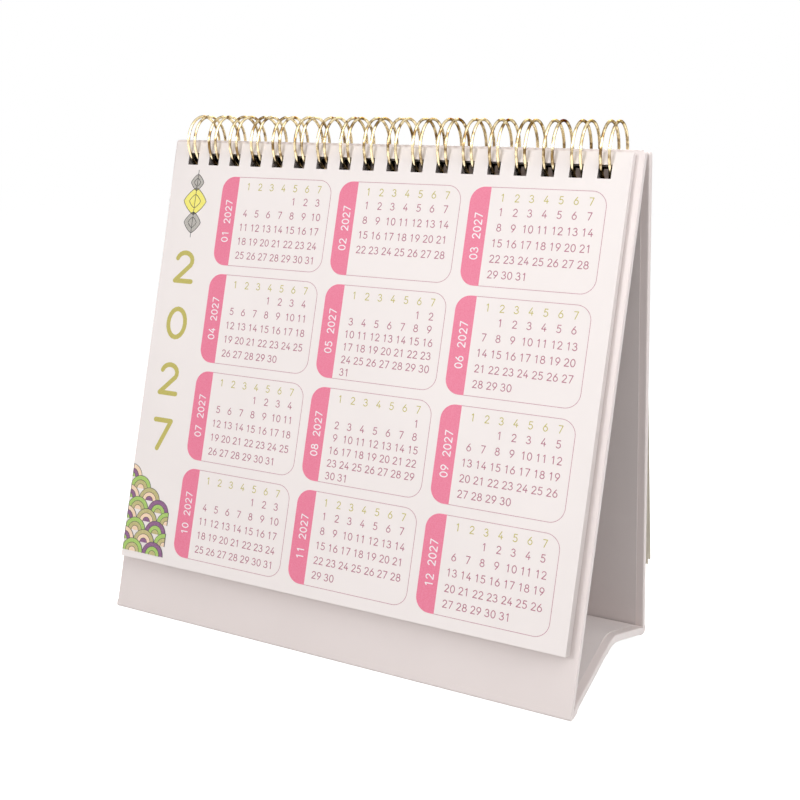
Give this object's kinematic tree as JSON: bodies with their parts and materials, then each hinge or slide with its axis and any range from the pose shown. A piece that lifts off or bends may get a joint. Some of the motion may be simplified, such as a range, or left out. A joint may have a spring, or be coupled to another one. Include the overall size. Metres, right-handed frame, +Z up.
{
  "type": "desk calendar",
  "caption": "Easel desk calendar: a folding case of paper-covered boards, a twin-loop wire binding along its top and punched sheets that turn over the wire.",
  "frame": {"origin": "on the table, under the middle of the whole calendar", "axes": "+X to the right of someone who reads it, +Y to the rear, +Z up"},
  "size_m": [0.1644, 0.0866, 0.1668],
  "materials": {
    "cover_paper": "satin white, faintly pink",
    "lining_paper": "matt white",
    "greyboard": "matt grey-brown board",
    "sheet_paper": "matt coated white",
    "cream_paper": "matt cream",
    "gold_wire": "polished gold-coloured wire"
  },
  "bodies": {
    "front": {"front_board": "greyboard", "front_cover": "cover_paper", "front_lining": "lining_paper", "front_foot": "cover_paper", "wire_binding": "gold_wire"},
    "rear": {"rear_board": "greyboard", "rear_cover": "cover_paper", "rear_lining": "lining_paper", "rear_foot": "cover_paper"},
    "base_front": {"base_front_board": "greyboard", "base_front_cover": "cover_paper", "base_front_lining": "lining_paper", "base_front_ridge": "cover_paper"},
    "base_rear": {"base_rear_board": "greyboard", "base_rear_cover": "cover_paper", "base_rear_lining": "lining_paper", "base_rear_ridge": "cover_paper"},
    "year_page": {"year_page": "sheet_paper"},
    "front_page_7": {"front_page_7": "sheet_paper"},
    "front_page_6": {"front_page_6": "sheet_paper"},
    "front_page_5": {"front_page_5": "sheet_paper"},
    "front_page_4": {"front_page_4": "sheet_paper"},
    "front_page_3": {"front_page_3": "sheet_paper"},
    "front_page_2": {"front_page_2": "sheet_paper"},
    "front_page_1": {"front_page_1": "sheet_paper"},
    "rear_page_5": {"rear_page_5": "cream_paper"},
    "rear_page_4": {"rear_page_4": "cream_paper"},
    "rear_page_3": {"rear_page_3": "cream_paper"},
    "rear_page_2": {"rear_page_2": "cream_paper"},
    "rear_page_1": {"rear_page_1": "cream_paper"}
  },
  "joints": [
    {"name": "case_fold", "type": "hinge", "parent": "front", "child": "rear", "pos_m": [0, -0.00491, 0.15779], "axis": [-1, 0, 0], "range_deg": [0, 18.6]},
    {"name": "front_base_fold", "type": "hinge", "parent": "front", "child": "base_front", "pos_m": [0, -0.03913, 0.00344], "axis": [1, 0, 0], "range_deg": [0, 60], "deforming": ["base_front_ridge"]},
    {"name": "rear_base_fold", "type": "hinge", "parent": "rear", "child": "base_rear", "pos_m": [0, 0.02931, 0.00344], "axis": [-1, 0, 0], "range_deg": [0, 60], "deforming": ["base_rear_ridge"]},
    {"name": "year_page_turn", "type": "hinge", "parent": "front", "child": "year_page", "pos_m": [0, -0.00491, 0.15779], "axis": [-1, 0, 0], "range_deg": [0, 115]},
    {"name": "front_page_7_turn", "type": "hinge", "parent": "front", "child": "front_page_7", "pos_m": [0, -0.00491, 0.15779], "axis": [-1, 0, 0], "range_deg": [0, 100.62]},
    {"name": "front_page_6_turn", "type": "hinge", "parent": "front", "child": "front_page_6", "pos_m": [0, -0.00491, 0.15779], "axis": [-1, 0, 0], "range_deg": [0, 86.25]},
    {"name": "front_page_5_turn", "type": "hinge", "parent": "front", "child": "front_page_5", "pos_m": [0, -0.00491, 0.15779], "axis": [-1, 0, 0], "range_deg": [0, 71.88]},
    {"name": "front_page_4_turn", "type": "hinge", "parent": "front", "child": "front_page_4", "pos_m": [0, -0.00491, 0.15779], "axis": [-1, 0, 0], "range_deg": [0, 57.5]},
    {"name": "front_page_3_turn", "type": "hinge", "parent": "front", "child": "front_page_3", "pos_m": [0, -0.00491, 0.15779], "axis": [-1, 0, 0], "range_deg": [0, 43.12]},
    {"name": "front_page_2_turn", "type": "hinge", "parent": "front", "child": "front_page_2", "pos_m": [0, -0.00491, 0.15779], "axis": [-1, 0, 0], "range_deg": [0, 28.75]},
    {"name": "front_page_1_turn", "type": "hinge", "parent": "front", "child": "front_page_1", "pos_m": [0, -0.00491, 0.15779], "axis": [-1, 0, 0], "range_deg": [0, 14.38]},
    {"name": "rear_page_5_turn", "type": "hinge", "parent": "rear", "child": "rear_page_5", "pos_m": [0, -0.00491, 0.15779], "axis": [1, 0, 0], "range_deg": [0, 55]},
    {"name": "rear_page_4_turn", "type": "hinge", "parent": "rear", "child": "rear_page_4", "pos_m": [0, -0.00491, 0.15779], "axis": [1, 0, 0], "range_deg": [0, 44]},
    {"name": "rear_page_3_turn", "type": "hinge", "parent": "rear", "child": "rear_page_3", "pos_m": [0, -0.00491, 0.15779], "axis": [1, 0, 0], "range_deg": [0, 33]},
    {"name": "rear_page_2_turn", "type": "hinge", "parent": "rear", "child": "rear_page_2", "pos_m": [0, -0.00491, 0.15779], "axis": [1, 0, 0], "range_deg": [0, 22]},
    {"name": "rear_page_1_turn", "type": "hinge", "parent": "rear", "child": "rear_page_1", "pos_m": [0, -0.00491, 0.15779], "axis": [1, 0, 0], "range_deg": [0, 11]}
  ],
  "couplings": [
    {"joint": "front_base_fold", "follows": "case_fold", "ratio": 3.2258},
    {"joint": "rear_base_fold", "follows": "case_fold", "ratio": 3.2258},
    {"joint": "front_page_7_turn", "follows": "year_page_turn", "ratio": 0.875},
    {"joint": "front_page_6_turn", "follows": "year_page_turn", "ratio": 0.75},
    {"joint": "front_page_5_turn", "follows": "year_page_turn", "ratio": 0.625},
    {"joint": "front_page_4_turn", "follows": "year_page_turn", "ratio": 0.5},
    {"joint": "front_page_3_turn", "follows": "year_page_turn", "ratio": 0.375},
    {"joint": "front_page_2_turn", "follows": "year_page_turn", "ratio": 0.25},
    {"joint": "front_page_1_turn", "follows": "year_page_turn", "ratio": 0.125},
    {"joint": "rear_page_4_turn", "follows": "rear_page_5_turn", "ratio": 0.8},
    {"joint": "rear_page_3_turn", "follows": "rear_page_5_turn", "ratio": 0.6},
    {"joint": "rear_page_2_turn", "follows": "rear_page_5_turn", "ratio": 0.4},
    {"joint": "rear_page_1_turn", "follows": "rear_page_5_turn", "ratio": 0.2}
  ]
}
